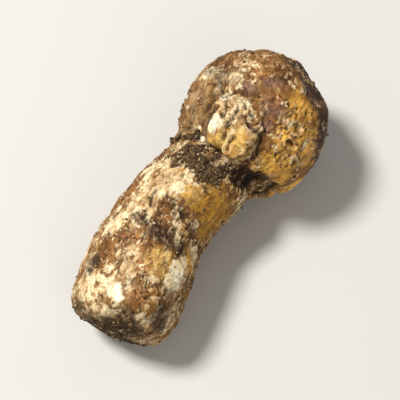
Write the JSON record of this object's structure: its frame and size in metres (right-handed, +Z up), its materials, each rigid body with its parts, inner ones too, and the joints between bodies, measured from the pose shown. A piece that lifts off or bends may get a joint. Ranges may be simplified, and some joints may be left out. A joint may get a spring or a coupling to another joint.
{
  "type": "matsutake mushroom",
  "caption": "Whole wild mushroom, picked with its cap still closed: a thick bent stem with a blunt root end and a round cap, lying on its side.",
  "frame": {"origin": "on the surface that it rests on, under the middle of its bounding box", "axes": "+X along its length, from the root end to the top of the cap; +Y towards the outside of the stem's bend; +Z up, away from the surface"},
  "size_m": [0.1238, 0.0548, 0.0535],
  "materials": {
    "flesh": "dry and matt: torn cream, ochre and brown fibres with soil on them"
  },
  "bodies": {
    "root": {"mushroom": "flesh"}
  },
  "joints": []
}
